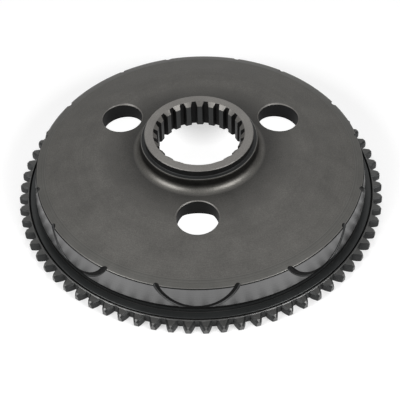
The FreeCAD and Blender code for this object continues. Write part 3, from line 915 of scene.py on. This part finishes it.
def flank_points(start, end, radius, steps):
    """Return points on a crowned flank between two ends, bulging to the left of the way."""
    chord = end - start
    middle = (start + end) / 2.0
    sideways = Vector((-chord.y, chord.x, 0.0)).normalized()
    depth = math.sqrt(radius ** 2 - (chord.length / 2.0) ** 2)
    centre = middle - sideways * depth
    first = start - centre
    sweep = first.angle(end - centre)
    side = 1.0 if first.cross(end - centre).z > 0.0 else -1.0
    angles = [side * sweep * step / steps for step in range(steps + 1)]
    return [centre + Matrix.Rotation(angle, 3, "Z") @ first for angle in angles]


class CONE_OT_cut_dog_teeth(bpy.types.Operator):
    """Cut the gaps between the dog teeth"""

    bl_idname = "cone.cut_dog_teeth"
    bl_label = "Cut the dog teeth"

    def execute(self, context):
        settings = context.scene.cone
        ring = settings.ring
        low = -OVERRUN
        beyond = ring.tip_radius + SIDE_OVERRUN
        floor_left = Vector((-ring.gap_floor / 2, -ring.root_radius, low))
        mouth_left = Vector((-ring.gap_mouth / 2, -ring.tip_radius, low))
        left = flank_points(floor_left, mouth_left, ring.flank_radius, FLANK_STEPS)
        right = [Vector((-point.x, point.y, point.z)) for point in reversed(left)]
        ends = [Vector((-ring.gap_mouth / 2, -beyond, low)), Vector((ring.gap_mouth / 2, -beyond, low))]
        cutter = draw_chain("gap_cutter", left + ends + right)
        close_and_extrude(ring.shelf_height - low + OVERRUN)
        # The flanks and gap floors get dark painted shade.
        cutter.data.materials.append(finishes(settings)["painted_dark_shade"])
        cut_round_axis(cutter, ring.tooth_count)
        return {"FINISHED"}


class CONE_OT_break_edges(bpy.types.Operator):
    """Break the upper edges of the dog teeth, and hand the piece to the frame"""

    bl_idname = "cone.break_edges"
    bl_label = "Break the edges"

    def execute(self, context):
        settings = context.scene.cone
        ring = settings.ring
        piece = bpy.data.objects[PIECE]
        flank = piece.data.materials.find("painted_dark_shade")
        pick(piece)
        bpy.ops.object.mode_set(mode="EDIT")

        def tooth_roof(face):
            return across(face.calc_center_median()) > ring.root_radius and face.normal.z > TILTED

        def flank_top(edge):
            middle = (edge.verts[0].co + edge.verts[1].co) / 2.0
            upper, side = sorted(edge.link_faces, key=lambda face: -face.normal.z)
            beside = abs(side.normal.z) < UPRIGHT and outwards(side) < TOOTH_END_FACING
            return across(middle) > ring.root_radius and upper.normal.z > TILTED and beside

        if not select_faces(tooth_roof):
            raise RuntimeError("no tooth tops were found")
        bpy.ops.mesh.dissolve_limited(angle_limit=ROOF_FLATNESS, delimit={"MATERIAL"})
        if not select_edges(flank_top):
            raise RuntimeError("no tooth edges were found")
        # The bevels get dark painted shade, which draws dark bands beside each tooth top.
        bpy.ops.mesh.bevel(offset=ring.tooth_break, segments=1, affect="EDGES", material=flank)
        bpy.ops.object.mode_set(mode="OBJECT")
        bpy.ops.object.shade_smooth_by_angle(angle=SMOOTH_BELOW)
        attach(piece, "root")
        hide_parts(NODE)
        return {"FINISHED"}


def soft_box(name, place_at, aim_at, size, power):
    """Hang one soft lamp that faces a point."""
    lamp = bpy.data.lights.new(name, "AREA")
    lamp.shape = "RECTANGLE"
    lamp.size, lamp.size_y = size
    lamp.energy = power
    holder = bpy.data.objects.new(name, lamp)
    holder.location = place_at
    holder.rotation_euler = (Vector(aim_at) - Vector(place_at)).to_track_quat("-Z", "Y").to_euler()
    bpy.context.scene.collection.objects.link(holder)


FLOOR_SIZE = 8.0
FLOOR_DROP = 0.0002  # gap that keeps the floor clear of the ring's lower face
# Light is painted over the cone's shadow on the floor inside these radii.
UNDER_WEB = (0.096, 0.104)  # the floor that shows through the holes ends between these radii
# Painted shade on the floor behind the bore: its middle and its reach.
BORE_SHADE_SPOT = (0.0, 0.075, 0.0)  # middle of the floor that shows through the bore
BORE_SHADE_REACH = (0.014, 0.034)
DOME_WAY = (0.0, 0.6, 0.8)  # the dome is brightest above and a little behind
DOME_FROM, DOME_TO = 0.5, 1.0
LAMP_SIZE = (0.50, 0.35)
SENSOR_WIDTH = 36.0


def floor_finish(stage):
    """Make the pale floor, white to the camera and in reflections, with its shadows kept round the cone,
    painted light over its shadow under the web and painted shade behind the bore.
    """
    material = bpy.data.materials.new("pale_floor")
    material.use_nodes = True
    tree = material.node_tree
    tree.nodes.clear()
    path = add(tree, "ShaderNodeLightPath")
    seen = math_node(tree, "MAXIMUM", path.outputs["Is Camera Ray"], path.outputs["Is Glossy Ray"])
    matt = add(tree, "ShaderNodeBsdfDiffuse", (("Color", (*stage.floor, 1.0)),))
    where = add(tree, "ShaderNodeTexCoord").outputs["Object"]
    distance = add(tree, "ShaderNodeVectorMath", ((0, where),), operation="LENGTH").outputs["Value"]
    # Painted light over the cone's shadow under the web, with painted shade behind the bore.
    inside = remap(tree, distance, *UNDER_WEB, 1.0, 0.0)
    shade = add(tree, "ShaderNodeVectorMath", ((0, where), (1, BORE_SHADE_SPOT)), operation="DISTANCE")
    soft = remap(tree, shade.outputs["Value"], *BORE_SHADE_REACH, stage.painted_bore_shade_glow, stage.painted_light_under_web)
    strength = add(tree, "ShaderNodeMix", (("Factor", inside), ("A", stage.floor_glow), ("B", soft)))
    glow = add(tree, "ShaderNodeEmission", (("Color", WHITE), ("Strength", strength.outputs[0])))
    pale = add(tree, "ShaderNodeBsdfDiffuse", (("Color", (*stage.floor_seen, 1.0)),))
    both = add(tree, "ShaderNodeAddShader", ((0, pale.outputs[0]), (1, glow.outputs[0])))
    mixed = add(tree, "ShaderNodeMixShader", ((0, seen), (1, matt.outputs[0]), (2, both.outputs[0])))
    leave = add(tree, "ShaderNodeOutputMaterial", ((0, mixed.outputs[0]),))
    leave.is_active_output = True
    return material


class CONE_OT_stage(bpy.types.Operator):
    """Set the pale floor, the soft lamps and the camera"""

    bl_idname = "cone.stage"
    bl_label = "Set the stage"

    def execute(self, context):
        scene = context.scene
        stage = scene.cone.stage
        deselect()
        bpy.ops.mesh.primitive_plane_add(size=FLOOR_SIZE, location=(0.0, 0.0, -FLOOR_DROP))
        floor = bpy.context.object
        floor.name = "pale_floor"
        place(floor)
        floor.data.materials.append(floor_finish(stage))
        world = scene.world or bpy.data.worlds.new("studio")
        scene.world = world
        world.use_nodes = True
        tree = world.node_tree
        tree.nodes.clear()
        path = add(tree, "ShaderNodeLightPath")
        way = add(tree, "ShaderNodeTexCoord").outputs["Generated"]
        sky = add(tree, "ShaderNodeVectorMath", ((0, way), (1, DOME_WAY)), operation="DOT_PRODUCT")
        light = remap(tree, sky.outputs["Value"], DOME_FROM, DOME_TO, stage.dome_low, stage.dome_high)
        dome = add(tree, "ShaderNodeBackground", (("Color", WHITE), ("Strength", light)))
        back = add(tree, "ShaderNodeBackground", (("Color", WHITE), ("Strength", 1.0)))
        seen = path.outputs["Is Camera Ray"]
        mixed = add(tree, "ShaderNodeMixShader", ((0, seen), (1, dome.outputs[0]), (2, back.outputs[0])))
        add(tree, "ShaderNodeOutputWorld", ((0, mixed.outputs[0]),))
        right, front, above = stage.lamp_place
        for name, side in (("left_soft_box", -right), ("right_soft_box", right)):
            soft_box(name, (side, front, above), stage.lamp_aim, LAMP_SIZE, stage.lamp_power)
        lens = bpy.data.cameras.new("photo_camera")
        lens.lens = stage.lens
        lens.sensor_width = SENSOR_WIDTH
        camera = bpy.data.objects.new("photo_camera", lens)
        start, aim = Vector(stage.camera_place), Vector(stage.camera_aim)
        facing = (aim - start).to_track_quat("-Z", "Y").to_matrix().to_4x4()
        roll = Matrix.Rotation(stage.camera_roll, 4, "Z")
        camera.matrix_world = Matrix.Translation(start) @ facing @ roll
        scene.collection.objects.link(camera)
        scene.camera = camera
        scene.view_settings.view_transform = "Standard"
        return {"FINISHED"}


class CONE_PT_panel(bpy.types.Panel):
    """Panel with the steps of the cone"""

    bl_label = "Synchronizer cone"
    bl_idname = "CONE_PT_panel"
    bl_space_type = "VIEW_3D"
    bl_region_type = "UI"
    bl_category = "Cone"

    def draw(self, context):
        for step in STEPS:
            self.layout.operator(step.bl_idname)


STEPS = (
    CONE_OT_turn_blank,
    CONE_OT_drill_web,
    CONE_OT_broach_spline,
    CONE_OT_mill_oil_grooves,
    CONE_OT_cut_dog_teeth,
    CONE_OT_break_edges,
    CONE_OT_stage,
)
CLASSES = (ConeHub, ConeWeb, ConeRing, ConeFinish, ConeStage, ConeSettings, *STEPS, CONE_PT_panel)


def register():
    """Register the classes and the scene's settings."""
    for item in CLASSES:
        bpy.utils.register_class(item)
    bpy.types.Scene.cone = bpy.props.PointerProperty(type=ConeSettings)


def unregister():
    """Remove the settings and the classes."""
    del bpy.types.Scene.cone
    for item in reversed(CLASSES):
        bpy.utils.unregister_class(item)


def main():
    """Make the cone and its stage."""
    register()
    bpy.ops.cone.turn_blank()
    bpy.ops.cone.drill_web()
    bpy.ops.cone.broach_spline()
    bpy.ops.cone.mill_oil_grooves()
    bpy.ops.cone.cut_dog_teeth()
    bpy.ops.cone.break_edges()
    bpy.ops.cone.stage()


if __name__ == "__main__":
    main()
